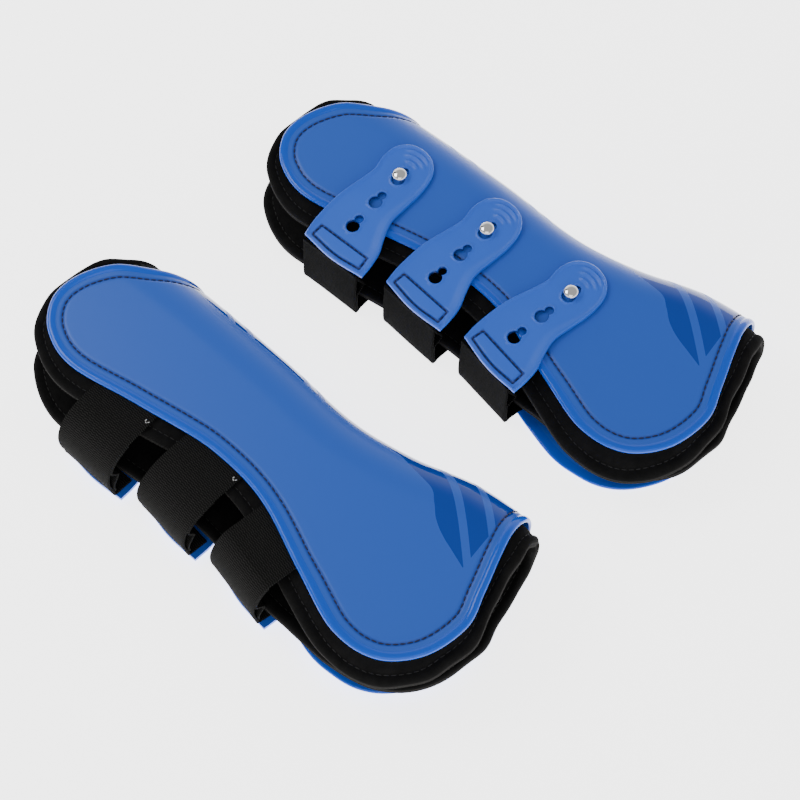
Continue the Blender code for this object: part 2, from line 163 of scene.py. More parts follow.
# ---------------------------------------------------------------------------------------------
# The shells: one sheet of moulded TPU each, folded round the tendon.  A rolled bead runs round
# the edge, then a flat band and a sunk groove for the seam.  The face is satin, with polished
# decoration along the tendon that is crossed by satin bars.

SHELL_THICKNESS = 2.4 * MM
BEND_RADIUS = 22.0 * MM
SHOULDER_RADIUS = 30.0 * MM
BEND_ANGLE = math.radians(70)
WALL_LEAN = math.radians(4)
SHOULDER_END = math.pi / 2 + WALL_LEAN
BEND_DEPTH = (BEND_RADIUS * (1 - math.cos(BEND_ANGLE))
              + SHOULDER_RADIUS * (math.cos(BEND_ANGLE) - math.cos(SHOULDER_END)))
BEND_HEIGHT = (BEND_RADIUS * math.sin(BEND_ANGLE)
               + SHOULDER_RADIUS * (math.sin(SHOULDER_END) - math.sin(BEND_ANGLE)))
WALL_HEIGHT = BEND_HEIGHT + BEND_DEPTH * math.tan(WALL_LEAN)
TENDON_LINE = np.array([(-140, 2), (-86, 2), (-25, -2), (22, -7), (56, -4), (92, 4), (140, 4)]) * MM

# (X down the leg, distance in front of the tendon reference line) in millimetres
SHELL_EDGE = [(-86, None), (-101, 7), (-119, 20), (-130, 37), (-131, 53), (-120, 67), (-98, 73.5),
              (-60, 69), (-15, 65), (20, 70.5), (55, 86), (85, 98), (108, 96.5), (125, 82),
              (132, 60), (128, 42), (122.5, 22), (119.5, 7), (119, None)]
TOP_CORNER = 5
FETLOCK_CORNER = 13
SEAM_INSET = 7.6 * MM
GROOVE_DEPTH = 1.25 * MM
# (distance in from the edge, depth below the bead's crest) from the face round to the inside
SHELL_PROFILE = [(10.2, 0.75), (9.4, 0.76), (8.8, 0.84), (8.3, 1.04), (7.95, 1.22), (7.6, 1.27),
                 (7.2, 1.22), (6.8, 1.05), (6.3, 0.92), (5.4, 0.90), (4.7, 0.89), (4.2, 0.80),
                 (3.7, 0.52), (3.1, 0.20), (2.4, 0.03), (1.8, 0.0), (1.2, 0.08), (0.6, 0.32),
                 (0.2, 0.70), (0.0, 1.20), (0.05, 1.75), (0.35, 2.15), (0.9, 2.38), (3.0, 2.4),
                 (10.2, 2.4)]
# The lower wall slides forward under the upper one: (X, how far) in millimetres
SHELL_SLUMP = np.array([(-140, 5), (-60, 11), (10, 13.5), (52, 13), (71, 11.5), (87, 8.5),
                        (104, 6.5), (130, 2)]) * MM
SLUMP_SPREAD = 45.0 * MM
BOOTS = {"left": 1, "right": -1}    # +1 where the studs face up
# X, Y and height over the table in millimetres, and turn in degrees; one stands on its studs
BOOT_SPOTS = {1: (9.95, 129.0, 0.0, 1.0), -1: (-10.75, -23.0, 5.5, -1.3)}
SHELL_GRID = (96, 120)


def boot_place(side):
    """A boot lies on its side, leaned until its lower wall is level."""
    x, y, stand_off, turn = BOOT_SPOTS[side]
    height = WALL_HEIGHT * math.cos(WALL_LEAN) + stand_off * MM
    return (Matrix.Translation((x * MM, y * MM, height))
            @ Matrix.Rotation(math.radians(turn), 4, "Z") @ Matrix.Rotation(WALL_LEAN, 4, "X"))


def smooth_value(table, x):
    """A smooth curve through a table's (x, value) points."""
    xs, ys = table.T
    last = len(xs) - 1
    after = np.minimum(np.arange(last + 1) + 1, last)
    before = np.maximum(np.arange(last + 1) - 1, 0)
    slopes = (ys[after] - ys[before]) / (xs[after] - xs[before])
    i = np.clip(np.searchsorted(xs, x, side="right"), 1, last)
    span = xs[i] - xs[i - 1]
    t = (x - xs[i - 1]) / span
    return ((2 * t**3 - 3 * t**2 + 1) * ys[i - 1] + (t**3 - 2 * t**2 + t) * span * slopes[i - 1]
            + (3 * t**2 - 2 * t**3) * ys[i] + (t**3 - t**2) * span * slopes[i])


def slumped(slump, x, s):
    """Where the flat sheet's points go once the boot has settled on its side."""
    share = np.clip(-s / SLUMP_SPREAD, 0, 1)
    return s - smooth_value(slump, x) * share**2 * (3 - 2 * share)


def folded(x, s, depth):
    """Points of the flat sheet at (x, s), folded round the tendon, `depth` below its outer face."""
    x, s, depth = np.broadcast_arrays(*(np.asarray(v, float) for v in (x, s, depth)))
    tendon = smooth_value(TENDON_LINE, x)
    scale = 1 + tendon * math.tan(WALL_LEAN) / WALL_HEIGHT
    bend, shoulder = BEND_RADIUS * scale, SHOULDER_RADIUS * scale
    along = np.abs(s)
    past_bend = along - bend * BEND_ANGLE
    shoulder_length = shoulder * (SHOULDER_END - BEND_ANGLE)
    first = np.minimum(along / bend, BEND_ANGLE)
    second = BEND_ANGLE + np.clip(past_bend, 0, shoulder_length) / shoulder
    rest = np.maximum(past_bend - shoulder_length, 0)
    in_front = (bend * (1 - np.cos(first)) + shoulder * (math.cos(BEND_ANGLE) - np.cos(second))
                + rest * math.cos(WALL_LEAN))
    height = (bend * np.sin(first) + shoulder * (np.sin(second) - math.sin(BEND_ANGLE))
              - rest * math.sin(WALL_LEAN))
    angle = np.where(past_bend > 0, second, first)
    wall = np.where(s >= 0, 1.0, -1.0)
    return np.stack((x, tendon - in_front - np.cos(angle) * depth,
                     wall * (height - np.sin(angle) * depth)), axis=-1)


def unrolled(x, front):
    """Length along the fold at x to a point `front` ahead of the reference line."""
    low, high = 0.0, 4 * (abs(front) + BEND_DEPTH)
    for _ in range(40):
        middle = (low + high) / 2
        if -folded(x, middle, 0.0)[1] < front:
            low = middle
        else:
            high = middle
    return (low + high) / 2


def run_lengths(run):
    """Length along an open run to each of its points."""
    return np.concatenate(([0], np.cumsum(np.hypot(*np.diff(run, axis=0).T))))


def resampled(run, count):
    """count + 1 evenly spaced points of an open run."""
    lengths = run_lengths(run)
    targets = np.linspace(0, lengths[-1], count + 1)
    return np.stack([np.interp(targets, lengths, run[:, k]) for k in (0, 1)], axis=1)


def smooth_between(points, steps):
    """A smooth curve through all the points but the two ends, which only steer it."""
    t = np.linspace(0, 1, steps, endpoint=False)[:, None]
    run = []
    for p0, p1, p2, p3 in zip(points, points[1:], points[2:], points[3:]):
        run.append(0.5 * (2 * p1 + (p2 - p0) * t + (2 * p0 - 5 * p1 + 4 * p2 - p3) * t**2
                          + (3 * p1 - p0 - 3 * p2 + p3) * t**3))
    return np.vstack(run + [points[-2][None]])


def edge_run(flat, first, last, count):
    """count + 1 evenly spaced points of a smooth curve through flat[first] .. flat[last]."""
    mirrored = [flat[1] * (1, -1)] + list(flat) + [flat[-2] * (1, -1)]
    return resampled(smooth_between(mirrored[first:last + 3], 16), count)


def sheet_outline(edge, across, along):
    """The closed edge of the unrolled sheet as (x, s): top end, one front, fetlock end, other."""
    flat = np.array([(x * MM, 0.0 if front is None else unrolled(x * MM, front * MM))
                     for x, front in edge])
    top = edge_run(flat, 0, TOP_CORNER, across // 2)
    front = edge_run(flat, TOP_CORNER, FETLOCK_CORNER, along)
    fetlock = edge_run(flat, FETLOCK_CORNER, len(flat) - 1, across // 2)
    other = (1, -1)
    return np.vstack((top[:0:-1] * other, top[:-1], front[:-1], fetlock[:-1],
                      (fetlock * other)[:0:-1], (front * other)[:0:-1]))


def inward(loop):
    """Unit vectors into a closed (x, s) loop."""
    ahead = np.roll(loop, -1, axis=0) - np.roll(loop, 1, axis=0)
    normal = np.stack((-ahead[:, 1], ahead[:, 0]), axis=1)
    normal /= np.hypot(*normal.T)[:, None]
    nxt = np.roll(loop, -1, axis=0)
    area = np.sum(loop[:, 0] * nxt[:, 1] - loop[:, 1] * nxt[:, 0])
    return normal * math.copysign(1, area)


def face_grid(loop, across, along):
    """Rows of points over a sheet's face, spread evenly between the four sides of its edge."""
    u = np.linspace(0, 1, along + 1)[:, None, None]
    v = np.linspace(0, 1, across + 1)[None, :, None]
    top = loop[:across + 1]
    front = loop[across:across + along + 1]
    fetlock = loop[across + along:2 * across + along + 1][::-1]
    back = np.vstack((loop[2 * across + along:], loop[:1]))[::-1]
    return ((1 - v) * back[:, None] + v * front[:, None] + (1 - u) * top[None]
            + u * fetlock[None] - (1 - u) * ((1 - v) * top[0] + v * top[-1])
            - u * ((1 - v) * fetlock[0] + v * fetlock[-1]))


def sheet_mesh(name, edge, slump, across, along, profile, place, shape=None):
    """A thick folded sheet with the given edge profile.  "fold" keeps its points' flat places."""
    loop = sheet_outline(edge, across, along)
    normals = inward(loop)
    count = len(loop)
    flat, depths, insets = [], [], []
    for inset, depth in profile:
        flat.append(loop + normals * inset * MM)
        depths.append(np.full(count, depth * MM))
        insets.append(np.full(count, inset * MM))
    faces = []
    for ring in (0, len(profile) - 1):
        grid = face_grid(flat[ring], across, along)
        start = sum(len(part) for part in flat)
        index = np.zeros((along + 1, across + 1), int)
        index[1:-1, 1:-1] = start + np.arange((along - 1) * (across - 1)).reshape(along - 1, -1)
        base = ring * count
        index[0] = base + np.arange(across + 1)
        index[:, -1] = base + across + np.arange(along + 1)
        index[-1] = base + (across + along + np.arange(across + 1))[::-1]
        index[:, 0] = base + ((2 * across + along + np.arange(along + 1)) % count)[::-1]
        flat.append(grid[1:-1, 1:-1].reshape(-1, 2))
        depths.append(np.full((along - 1) * (across - 1), profile[ring][1] * MM))
        insets.append(np.full((along - 1) * (across - 1), 2 * profile[ring][0] * MM))
        quads = np.stack((index[:-1, :-1], index[1:, :-1], index[1:, 1:], index[:-1, 1:]), axis=-1)
        faces += quads.reshape(-1, 4).tolist()
    step = np.arange(count)
    for ring in range(len(profile) - 1):
        a = ring * count + step
        b = ring * count + np.roll(step, -1)
        faces += np.stack((a, b, b + count, a + count), axis=1).tolist()
    flat, depths, insets = np.vstack(flat), np.concatenate(depths), np.concatenate(insets)
    x, s = flat.T
    if shape is not None:
        x, s, depths = shape(x, s, depths, insets)
    points = folded(x, slumped(slump, x, s), depths)
    mesh = bpy.data.meshes.new(name)
    mesh.from_pydata([place @ Vector(p) for p in points], [], faces)
    bm = bmesh.new()
    bm.from_mesh(mesh)
    bmesh.ops.recalc_face_normals(bm, faces=bm.faces)
    bm.to_mesh(mesh)
    bm.free()
    mesh.shade_smooth()
    fold = mesh.attributes.new("fold", "FLOAT_VECTOR", "POINT")
    fold.data.foreach_set("vector", np.stack((x, s, insets), axis=1).astype(np.float32).ravel())
    return mesh


def piece(name, mesh, body, slot, *nodes):
    """A finished piece that stands for its CAD nodes."""
    obj = placed(name, mesh)
    if body is not None:
        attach(obj, body)
    if nodes:
        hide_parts(*nodes)
    return obj


def blend_colour(tree, share, one, other):
    return add(tree, "ShaderNodeMix", {0: share, 6: one, 7: other}, data_type="RGBA").outputs[2]


def noise(tree, place, scale, detail):
    made = add(tree, "ShaderNodeTexNoise", {"Vector": place, "Scale": scale, "Detail": detail})
    return made.outputs["Fac"]


def raised(tree, height, strength, distance):
    """A surface normal that follows a height."""
    made = add(tree, "ShaderNodeBump", {"Height": height, "Strength": strength,
                                        "Distance": distance})
    return made.outputs["Normal"]


# Where the polished decoration ends on each side of the tendon, as (X, length along the fold),
# and the satin bars that cross it, as (X where the bar is 18 mm round from the tendon)
POLISH_EDGE = [(-92, 10), (-82, 15), (-58, 17), (-38, 16), (0, 15), (40, 15), (52, 17),
               (61, 22), (70, 27), (77, 31), (83, 38), (90, 46), (97, 50.5), (104, 53.5),
               (113, 57)]
POLISH_END = 113.0
SATIN_BARS = [-55.0, -41.5, -1.5, 8.5, 78.3, 96.2]
BAR_FOOT = 18.0
BAR_SLOPE = 0.97
BAR_HALF_WIDTH = 2.5
BEAD_WIDTH = 4.6
SHELL_SATIN = (0.022, 0.100, 0.500, 1)
SHELL_POLISHED = (0.003, 0.045, 0.330, 1)
SHELL_BEAD = (0.008, 0.085, 0.560, 1)
# painted shade: a darker navy laid into the seam's sunk groove
SHELL_GROOVE_SHADE = (0.006, 0.030, 0.240, 1)


def shell_finish():
    mat, tree, shader = new_finish("satin_blue_tpu", SHELL_SATIN[:3], 0.34)
    fold = add(tree, "ShaderNodeAttribute", attribute_name="fold").outputs["Vector"]
    in_mm = add(tree, "ShaderNodeVectorMath", {0: fold, "Scale": 1000.0}, operation="SCALE")
    parts = add(tree, "ShaderNodeSeparateXYZ", {0: in_mm.outputs["Vector"]})
    x, inset = parts.outputs["X"], parts.outputs["Z"]
    s = maths(tree, "ABSOLUTE", parts.outputs["Y"])
    first_x, last_x = POLISH_EDGE[0][0], POLISH_EDGE[-1][0]
    widest = 60.0
    along = ranged(tree, x, (first_x, last_x), (0, 1))
    curve = add(tree, "ShaderNodeFloatCurve", {"Value": along})
    line = curve.mapping.curves[0]
    for i, (px, ps) in enumerate(POLISH_EDGE):
        spot = ((px - first_x) / (last_x - first_x), ps / widest)
        if i in (0, len(POLISH_EDGE) - 1):
            line.points[0 if i == 0 else -1].location = spot
        else:
            line.points.new(*spot)
    curve.mapping.update()
    edge = maths(tree, "MULTIPLY", curve.outputs["Value"], widest)
    soft = 4.0                  # edges fade over a quarter of a millimetre
    polish = maths(tree, "MULTIPLY", maths(tree, "SUBTRACT", edge, s), soft, clamp=True)
    for limit in (maths(tree, "SUBTRACT", x, first_x), maths(tree, "SUBTRACT", POLISH_END, x)):
        polish = maths(tree, "MULTIPLY", polish, maths(tree, "MULTIPLY", limit, soft, clamp=True))
    slant = maths(tree, "SUBTRACT", x, maths(tree, "MULTIPLY", maths(tree, "SUBTRACT", s, BAR_FOOT),
                                             BAR_SLOPE))
    for bar in SATIN_BARS:
        away = maths(tree, "ABSOLUTE", maths(tree, "SUBTRACT", slant, bar))
        outside = maths(tree, "MULTIPLY", maths(tree, "SUBTRACT", away, BAR_HALF_WIDTH), soft,
                        clamp=True)
        polish = maths(tree, "MULTIPLY", polish, outside)
    bead = maths(tree, "MULTIPLY", maths(tree, "SUBTRACT", BEAD_WIDTH, inset), 1.5, clamp=True)
    place = add(tree, "ShaderNodeTexCoord").outputs["Object"]
    mottle = ranged(tree, noise(tree, place, 9.0, 3.0), (0.3, 0.7), (0.0, 0.12))
    satin = blend_colour(tree, mottle, SHELL_SATIN, SHELL_BEAD)
    with_bead = blend_colour(tree, bead, satin, SHELL_BEAD)
    colour = blend_colour(tree, polish, with_bead, SHELL_POLISHED)
    # Painted shade: the seam's groove is coloured towards a darker navy.
    off_seam = maths(tree, "ABSOLUTE", maths(tree, "SUBTRACT", inset, SEAM_INSET / MM))
    groove_shade = maths(tree, "SUBTRACT", 1.35, off_seam, clamp=True)
    colour = blend_colour(tree, maths(tree, "MULTIPLY", groove_shade, 0.55), colour, SHELL_GROOVE_SHADE)
    grain = noise(tree, place, 1500.0, 2.0)
    shiny = maths(tree, "MAXIMUM", polish, maths(tree, "MULTIPLY", bead, 0.75))
    satin_rough = ranged(tree, grain, (0, 1), (0.32, 0.42))
    rough = add(tree, "ShaderNodeMix", {0: shiny, 2: satin_rough, 3: 0.05}, data_type="FLOAT")
    height = maths(tree, "MULTIPLY", grain, maths(tree, "SUBTRACT", 1.0, shiny))
    fill(tree, shader, {"Base Color": colour, "Roughness": rough.outputs[0],
                        "Specular IOR Level": 0.32,
                        "Normal": raised(tree, height, 0.10, 0.05 * MM)})
    return mat


shell_blue = shell_finish()
for prefix, side in BOOTS.items():
    mesh = sheet_mesh(f"{prefix}_moulded_shell", SHELL_EDGE, SHELL_SLUMP, *SHELL_GRID,
                      SHELL_PROFILE, boot_place(side))
    mesh.materials.append(shell_blue)
    piece(f"{prefix}_moulded_shell", mesh, "boots", "shell", f"{prefix}_shell")

# ---------------------------------------------------------------------------------------------
# The liners: 6 mm neoprene with knitted facing on both sides, sewn inside the shell and proud
# of it all round.  A row of stitches a little way in from the edge pinches both faces together,
# so the rim swells like piping and waves a little where the fetlock end was cut.

STRAP_SPACE = 2.0 * MM          # between the shell and the liner, where the straps are sewn in
LINER_EDGE = [(-112, None), (-119, 8), (-128, 20), (-134, 38), (-136, 54), (-127, 72), (-100, 83.5),
              (-60, 79), (-15, 75), (20, 81), (55, 97), (85, 108.5), (110, 107), (130, 90),
              (137.5, 62), (134, 42), (131, 22), (129, 8), (128, None)]
# The left boot's lower front settles a little less than the right one's
LINER_SLUMP = {1: np.array([(-140, 5), (-60, 12), (10, 13), (40, 4), (62, -3), (80, -7),
                            (104, -9), (122, -7), (145, -3)]) * MM,
               -1: np.array([(-140, 5), (-60, 13), (10, 16), (40, 12), (62, 5), (80, 0),
                             (104, -3), (145, -2)]) * MM}
LINER_GRID = (110, 130)
LINER_SEAM_INSET = 5.2 * MM
LINER_SEAM_DEPTHS = (5.15, 9.7)     # a thread in the pinch of each face
LINER_PROFILE = [(11.0, 4.4), (8.6, 4.42), (6.9, 4.55), (5.9, 4.95), (5.2, 5.25), (4.5, 5.0),
                 (3.6, 4.6), (2.6, 4.5), (1.6, 4.7), (0.8, 5.25), (0.3, 6.0), (0.1, 6.8),
                 (0.35, 7.2), (0.35, 7.5), (0.1, 7.9), (0.2, 8.7), (0.7, 9.5), (1.5, 10.1),
                 (2.6, 10.35), (3.6, 10.2), (4.5, 9.85), (5.2, 9.6), (5.9, 9.85), (6.9, 10.25),
                 (8.6, 10.38), (11.0, 10.4)]
FRONT_CURL = 4.5 * MM           # the free front edges close up towards each other
CURL_REACH = 16.0 * MM


def smooth_step(value, start, end):
    t = np.clip((value - start) / (end - start), 0, 1)
    return t * t * (3 - 2 * t)


def settled_liner(side):
    """The liner's own softness: a waved rim, shallow dents, and fronts that close up."""
    def shape(x, s, depth, inset):
        rim = 1 - smooth_step(inset, 2.0 * MM, 9.0 * MM)
        fetlock = smooth_step(x, 0.085, 0.120)
        wall = np.where(s >= 0, 1.0, 2.7) * side        # so that no two walls wave alike
        wave = (np.sin(x / 0.0042 + wall) + np.sin(s / 0.0037 + 1.3 * wall)) * fetlock
        slow = np.sin(x / 0.017 + wall) + np.sin(s / 0.013 - wall)
        depth = depth + (0.35 * wave + 0.30 * slow) * rim * MM
        s = s + np.sign(s) * 0.35 * slow * rim * MM
        x = x + (0.30 * wave * rim * fetlock + 0.25 * np.sin(s / 0.009 + wall) * rim) * MM
        open_front = smooth_step(np.abs(s), 0.060, 0.085) * smooth_step(x, 0.030, 0.075)
        curl = 1 - smooth_step(inset, 0.0, CURL_REACH)
        return x, s, depth + FRONT_CURL * open_front * curl
    return shape


def neoprene_finish():
    """Knitted facing with some lint, a shade lighter on the cut edge."""
    mat, tree, shader = new_finish("black_neoprene", (0.006, 0.006, 0.006), 0.95)
    place = add(tree, "ShaderNodeTexCoord").outputs["Object"]
    fold = add(tree, "ShaderNodeAttribute", attribute_name="fold").outputs["Vector"]
    parts = add(tree, "ShaderNodeSeparateXYZ", {0: fold})
    knit = add(tree, "ShaderNodeTexVoronoi", {"Vector": place, "Scale": 1400.0})
    nap = noise(tree, place, 260.0, 4.0)
    lint = maths(tree, "MULTIPLY", nap, noise(tree, place, 35.0, 3.0))
    colour = blend_colour(tree, lint, (0.0035, 0.0035, 0.0035, 1), (0.0160, 0.0156, 0.0154, 1))
    cut = maths(tree, "MULTIPLY", maths(tree, "SUBTRACT", 0.45 * MM, parts.outputs["Z"]),
                4.0 / MM, clamp=True)
    colour = blend_colour(tree, maths(tree, "MULTIPLY", cut, 0.6), colour,
                          (0.020, 0.019, 0.018, 1))
    height = maths(tree, "MULTIPLY_ADD", knit.outputs["Distance"], 0.4, nap)
    fill(tree, shader, {"Base Color": colour, "Specular IOR Level": 0.06,
                        "Normal": raised(tree, height, 0.5, 0.3 * MM)})
    return mat


neoprene = neoprene_finish()
for prefix, side in BOOTS.items():
    mesh = sheet_mesh(f"{prefix}_neoprene_liner", LINER_EDGE, LINER_SLUMP[side], *LINER_GRID,
                      LINER_PROFILE, boot_place(side), settled_liner(side))
    mesh.materials.append(neoprene)
    liner = piece(f"{prefix}_neoprene_liner", mesh, "boots", "liner", f"{prefix}_liner")

# ---------------------------------------------------------------------------------------------
# The tabs: soft moulded TPU, thicker at a sloping rim, with three keyholes that have a small lip,
# three tapered finger ridges at the tip, and a sunk box near the base where the strap is sewn.

STRAP_COUNT = 3
STRAP_PITCH = 54.0 * MM
STUDS_TO_REFERENCE = [42.0, 42.0, 47.0]
STUD_SLUMP = 3.5                # more on a lower wall, less on an upper one
MIDDLE_STUD_X = -12.5 * MM
TAB_LEANS = [4.0, 9.0, 14.5]
GAP = 0.3 * MM
STRAP_THICKNESS = 1.4 * MM
TAB_THICKNESS = 2.4 * MM
TAB_LENGTH = 56.0 * MM
HINGE_REACH = TAB_LENGTH + STRAP_THICKNESS / 2 + 2 * GAP
TAB_SIDE = [(22, -54.5), (21.5, -46), (20, -38.5), (16.5, -31), (13.5, -22), (13.8, -11), (14.3, 0),
            (12.5, 10), (7.5, 16.5), (0, 18.8), (-7.5, 17.3), (-13, 12), (-14.6, 4), (-13.3, -4),
            (-14.6, -12), (-17.5, -28), (-17.5, -44), (-16, -54)]
TAB_BOW = (3.0, -56.0)          # the base edge bows out to here
KEYHOLE_PITCH = 17.2
LARGE_HOLE = 3.3                # the soft plastic stretches over the stud's head
SMALL_HOLE = 2.1
SMALL_HOLE_OFFSET = 4.9
PULLED_UP = 1.5                 # the pull of the strap leaves the stud at the tip side
SUNK_BOX = [(-13.0, -51.6), (-12.6, -45.0), (17.6, -45.0), (17.9, -51.9), (3.0, -53.2)]
BOX_CHANNEL = 0.95
BOX_DEPTH = 0.75
RIDGES = [(8.6, 36.0), (11.8, 42.0), (14.8, 38.0)]   # radius about the stud, half angle in degrees
TAB_FIELD = 1.55                # thickness of the middle
TAB_SAG = 0.7                   # the tip end presses down on to the shell's face
TAB_RIM = (1.9, 0.5, 3.4)       # its width, what it gains to the base, and on the broad side
BASE_RIM = 1.4
LIP_HEIGHT = 0.42
LIP_INSET = 0.55
RIDGE_HEIGHT = 0.80
RIDGE_CENTRE_Y = 1.5


def stud_x(index):
    return MIDDLE_STUD_X + (index - 1) * STRAP_PITCH


def stud_front(side, index):
    """How far a stud lies ahead of the reference line."""
    return (STUDS_TO_REFERENCE[index] - side * STUD_SLUMP) * MM


def wall_z(front):
    return WALL_HEIGHT - math.tan(WALL_LEAN) * front


def tab_place(side, index):
    """Frame at the first keyhole, halfway through the tab, +Y to the tip."""
    front = stud_front(side, index)
    lift = wall_z(front) + (GAP + TAB_THICKNESS / 2) / math.cos(WALL_LEAN)
    return (boot_place(side) @ Matrix.Translation((stud_x(index), -front, side * lift))
            @ Matrix.Rotation(side * WALL_LEAN, 4, "X")
            @ Matrix.Rotation(-math.radians(TAB_LEANS[index]), 4, "Z"))


def smooth_run(points, steps):
    """An open smooth curve through points."""
    points = np.array(points, float)
    ends = 2 * points[:1] - points[1:2], 2 * points[-1:] - points[-2:-1]
    return smooth_between(np.vstack((ends[0], points, ends[1])), steps)


def evenly(run, spacing):
    """The same open run with points `spacing` apart."""
    return resampled(run, max(2, round(run_lengths(run)[-1] / spacing)))


def tab_outline(spacing):
    side = evenly(smooth_run(TAB_SIDE, 12), spacing)
    base = evenly(smooth_run([TAB_SIDE[-1], TAB_BOW, TAB_SIDE[0]], 24), spacing)
    return np.vstack((side[:-1], base[:-1]))


def keyhole(number, grow, spacing):
    """Outline of a large hole that runs into a small one nearer the tip."""
    centre_y = -number * KEYHOLE_PITCH - PULLED_UP
    big, small, offset = LARGE_HOLE + grow, SMALL_HOLE + grow, SMALL_HOLE_OFFSET
    meet = (big**2 - small**2 + offset**2) / (2 * offset)
    big_start = math.acos(meet / big)
    small_start = math.acos((meet - offset) / small)
    big_angles = np.linspace(math.pi / 2 + big_start, 2.5 * math.pi - big_start,
                             max(12, round(2 * (math.pi - big_start) * big / spacing)) + 1)
    small_angles = np.linspace(math.pi / 2 - small_start, math.pi / 2 + small_start,
                               max(8, round(2 * small_start * small / spacing)) + 1)[1:-1]
    return np.vstack((np.stack((big * np.cos(big_angles), centre_y + big * np.sin(big_angles)), 1),
                      np.stack((small * np.cos(small_angles),
                                centre_y + offset + small * np.sin(small_angles)), 1)))


def distance_to(points, loop, closed=True):
    """Distance from each point to a run of straight pieces."""
    start = loop if closed else loop[:-1]
    end = np.roll(loop, -1, axis=0) if closed else loop[1:]
    piece_run = end - start
    rel = points[:, None] - start[None]
    t = np.clip((rel * piece_run).sum(-1) / (piece_run**2).sum(-1), 0, 1)
    return np.sqrt(((rel - t[..., None] * piece_run)**2).sum(-1)).min(1)


def inside(points, loop):
    nxt = np.roll(loop, -1, axis=0)
    x, y = points[:, 0, None], points[:, 1, None]
    crosses = (loop[:, 1] > y) != (nxt[:, 1] > y)
    rise = np.where(nxt[:, 1] == loop[:, 1], 1.0, nxt[:, 1] - loop[:, 1])
    at = loop[:, 0] + (y - loop[:, 1]) * (nxt[:, 0] - loop[:, 0]) / rise
    return (crosses & (x < at)).sum(1) % 2 == 1


def box_path():
    """The closed line of the sunk box, with a bowed side at the tab's base."""
    base = smooth_run([SUNK_BOX[3], SUNK_BOX[4], SUNK_BOX[0]], 12)
    closed = np.vstack((base[:-1], SUNK_BOX[:3], base[:1]))
    return evenly(closed, 0.8)[:-1]


def tab_height(points, outline, holes):
    """Thickness of the tab at each point, in millimetres, and its painted shade in the box and
    keyholes.
    """
    x, y = points.T
    edge = distance_to(points, outline)
    broad = smooth_step(x, -2.0, 9.0) * smooth_step(y, 12.0, -24.0)
    rim = TAB_RIM[0] + TAB_RIM[1] * smooth_step(y, 0.0, -30.0) + TAB_RIM[2] * broad
    base = smooth_step(y, -46.0, -51.0)
    rim = rim * (1 - base) + BASE_RIM * base
    slope = 1 - smooth_step(edge, 0.75 + 0.25 * broad, rim)
    height = TAB_FIELD + (TAB_THICKNESS / MM - TAB_FIELD) * slope
    height -= 0.55 * (1 - smooth_step(edge, 0.0, 0.75))**2
    for hole in holes:
        away = distance_to(points, hole)
        height += LIP_HEIGHT * (1 - smooth_step(np.abs(away - LIP_INSET), 0.15, 0.60))
        height -= 0.30 * (1 - smooth_step(away, 0.0, 0.28))
    radius = np.hypot(x, y - RIDGE_CENTRE_Y)
    angle = np.degrees(np.abs(np.arctan2(x, y - RIDGE_CENTRE_Y)))
    for ridge, half_angle in RIDGES:
        taper = 1 - smooth_step(angle, half_angle * 0.35, half_angle)
        rise = smooth_step(radius, ridge - 2.0, ridge - 0.35)
        fall = 1 - smooth_step(radius, ridge - 0.1, ridge + 0.55)
        height += RIDGE_HEIGHT * taper * rise * fall
    # The box's channel: its sunk profile, also used as painted shade on the tab's colour
    shade = 1 - smooth_step(distance_to(points, box_path()), 0.35, BOX_CHANNEL)
    height -= BOX_DEPTH * shade
    # Painted shade also darkens the keyholes' edges and walls
    for hole in holes:
        shade = np.maximum(shade, 1 - smooth_step(distance_to(points, hole), 0.0, 0.15))
    return height, shade


def thinned(points, reach):
    """The points, less each that lies within `reach` of one before it."""
    kept, cells = [], {}
    for p in points:
        key = (int(p[0] // reach), int(p[1] // reach))
        near = [q for i in (-1, 0, 1) for j in (-1, 0, 1)
                for q in cells.get((key[0] + i, key[1] + j), ())]
        if all((p[0] - q[0])**2 + (p[1] - q[1])**2 > reach**2 for q in near):
            cells.setdefault(key, []).append(p)
            kept.append(p)
    return kept


def filled(loops, loose):
    """Points and triangles that fill the first loop and leave the others open."""
    edges, first = [], 0
    for loop in loops:
        edges += [(first + k, first + (k + 1) % len(loop)) for k in range(len(loop))]
        first += len(loop)
    every = [Vector(p) for p in np.vstack(loops + [loose])]
    points, _, triangles, *_ = delaunay_2d_cdt(every, edges, [], 0, 1e-5)
    points = np.array([tuple(p) for p in points])
    centres = points[np.array(triangles)].mean(1)
    keep = inside(centres, loops[0])
    for hole in loops[1:]:
        keep &= ~inside(centres, hole)
    return points, [t for t, wanted in zip(triangles, keep) if wanted]


